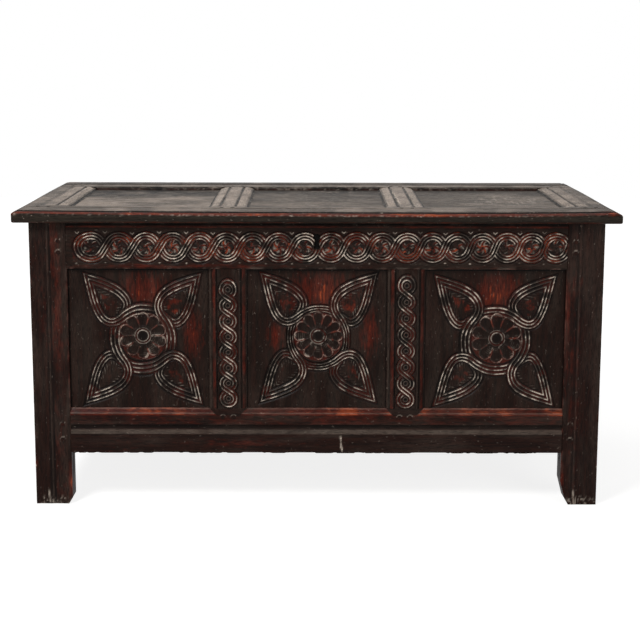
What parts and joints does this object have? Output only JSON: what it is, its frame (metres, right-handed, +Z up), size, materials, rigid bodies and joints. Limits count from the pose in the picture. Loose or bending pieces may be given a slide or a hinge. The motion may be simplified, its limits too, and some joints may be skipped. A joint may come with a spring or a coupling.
{
  "type": "coffer chest",
  "caption": "Joined oak coffer chest with a carved panelled front, plain panelled ends and back, a boarded floor, and a panelled lid on iron strap hinges with a chest lock.",
  "frame": {"origin": "centre of the footprint, on the floor under the feet", "axes": "+X along the chest to the viewer's right, -Y out of the carved front, +Z up"},
  "size_m": [1.4, 0.622, 0.7111],
  "materials": {
    "oak_frame": "dark waxed oak",
    "oak_carved": "dark waxed oak with rubbed red-brown high points",
    "oak_lid": "dark waxed oak, soft sheen",
    "oak_floor": "dry unfinished oak",
    "oak_pegs": "dark waxed oak, end grain",
    "hinge_iron": "wrought iron, dark, dull",
    "lock_iron": "wrought iron, rubbed"
  },
  "bodies": {
    "case": {"back_bottom_rail": "oak_frame", "back_left_muntin": "oak_frame", "back_left_panel": "oak_frame", "back_left_stile": "oak_frame", "back_middle_panel": "oak_frame", "back_pegs": "oak_pegs", "back_right_muntin": "oak_frame", "back_right_panel": "oak_frame", "back_right_stile": "oak_frame", "back_top_rail": "oak_frame", "end_pegs": "oak_pegs", "floor_board_1": "oak_floor", "floor_board_2": "oak_floor", "floor_board_3": "oak_floor", "floor_board_4": "oak_floor", "front_bottom_rail": "oak_frame", "front_left_muntin": "oak_carved", "front_left_panel": "oak_carved", "front_left_stile": "oak_frame", "front_middle_panel": "oak_carved", "front_pegs": "oak_pegs", "front_right_muntin": "oak_carved", "front_right_panel": "oak_carved", "front_right_stile": "oak_frame", "front_top_rail": "oak_carved", "hinge_leaf_nails": "hinge_iron", "hinge_pins": "hinge_iron", "left_back_panel": "oak_frame", "left_bottom_rail": "oak_frame", "left_front_panel": "oak_frame", "left_hinge_leaf": "hinge_iron", "left_muntin": "oak_frame", "left_top_rail": "oak_frame", "lock_bolt_guides": "lock_iron", "lock_key_pin": "lock_iron", "lock_nails": "lock_iron", "lock_plate": "lock_iron", "lock_spring": "lock_iron", "right_back_panel": "oak_frame", "right_bottom_rail": "oak_frame", "right_front_panel": "oak_frame", "right_hinge_leaf": "hinge_iron", "right_muntin": "oak_frame", "right_top_rail": "oak_frame"},
    "lid": {"hinge_strap_nails": "hinge_iron", "left_hinge_strap": "hinge_iron", "lid_back_rail": "oak_lid", "lid_front_rail": "oak_lid", "lid_left_muntin": "oak_lid", "lid_left_panel": "oak_lid", "lid_left_stile": "oak_lid", "lid_middle_panel": "oak_lid", "lid_pegs": "oak_pegs", "lid_right_muntin": "oak_lid", "lid_right_panel": "oak_lid", "lid_right_stile": "oak_lid", "lid_staple": "hinge_iron", "right_hinge_strap": "hinge_iron", "staple_nails": "hinge_iron"},
    "lock_bolt": {"lock_bolt": "lock_iron"}
  },
  "joints": [
    {"name": "lid_hinge", "type": "hinge", "parent": "case", "child": "lid", "pos_m": [0, 0.3055, 0.678], "axis": [-1, 0, 0], "range_deg": [0, 100]},
    {"name": "bolt_slide", "type": "slide", "parent": "case", "child": "lock_bolt", "axis": [1, 0, 0], "range_m": [0, 0.014]}
  ]
}
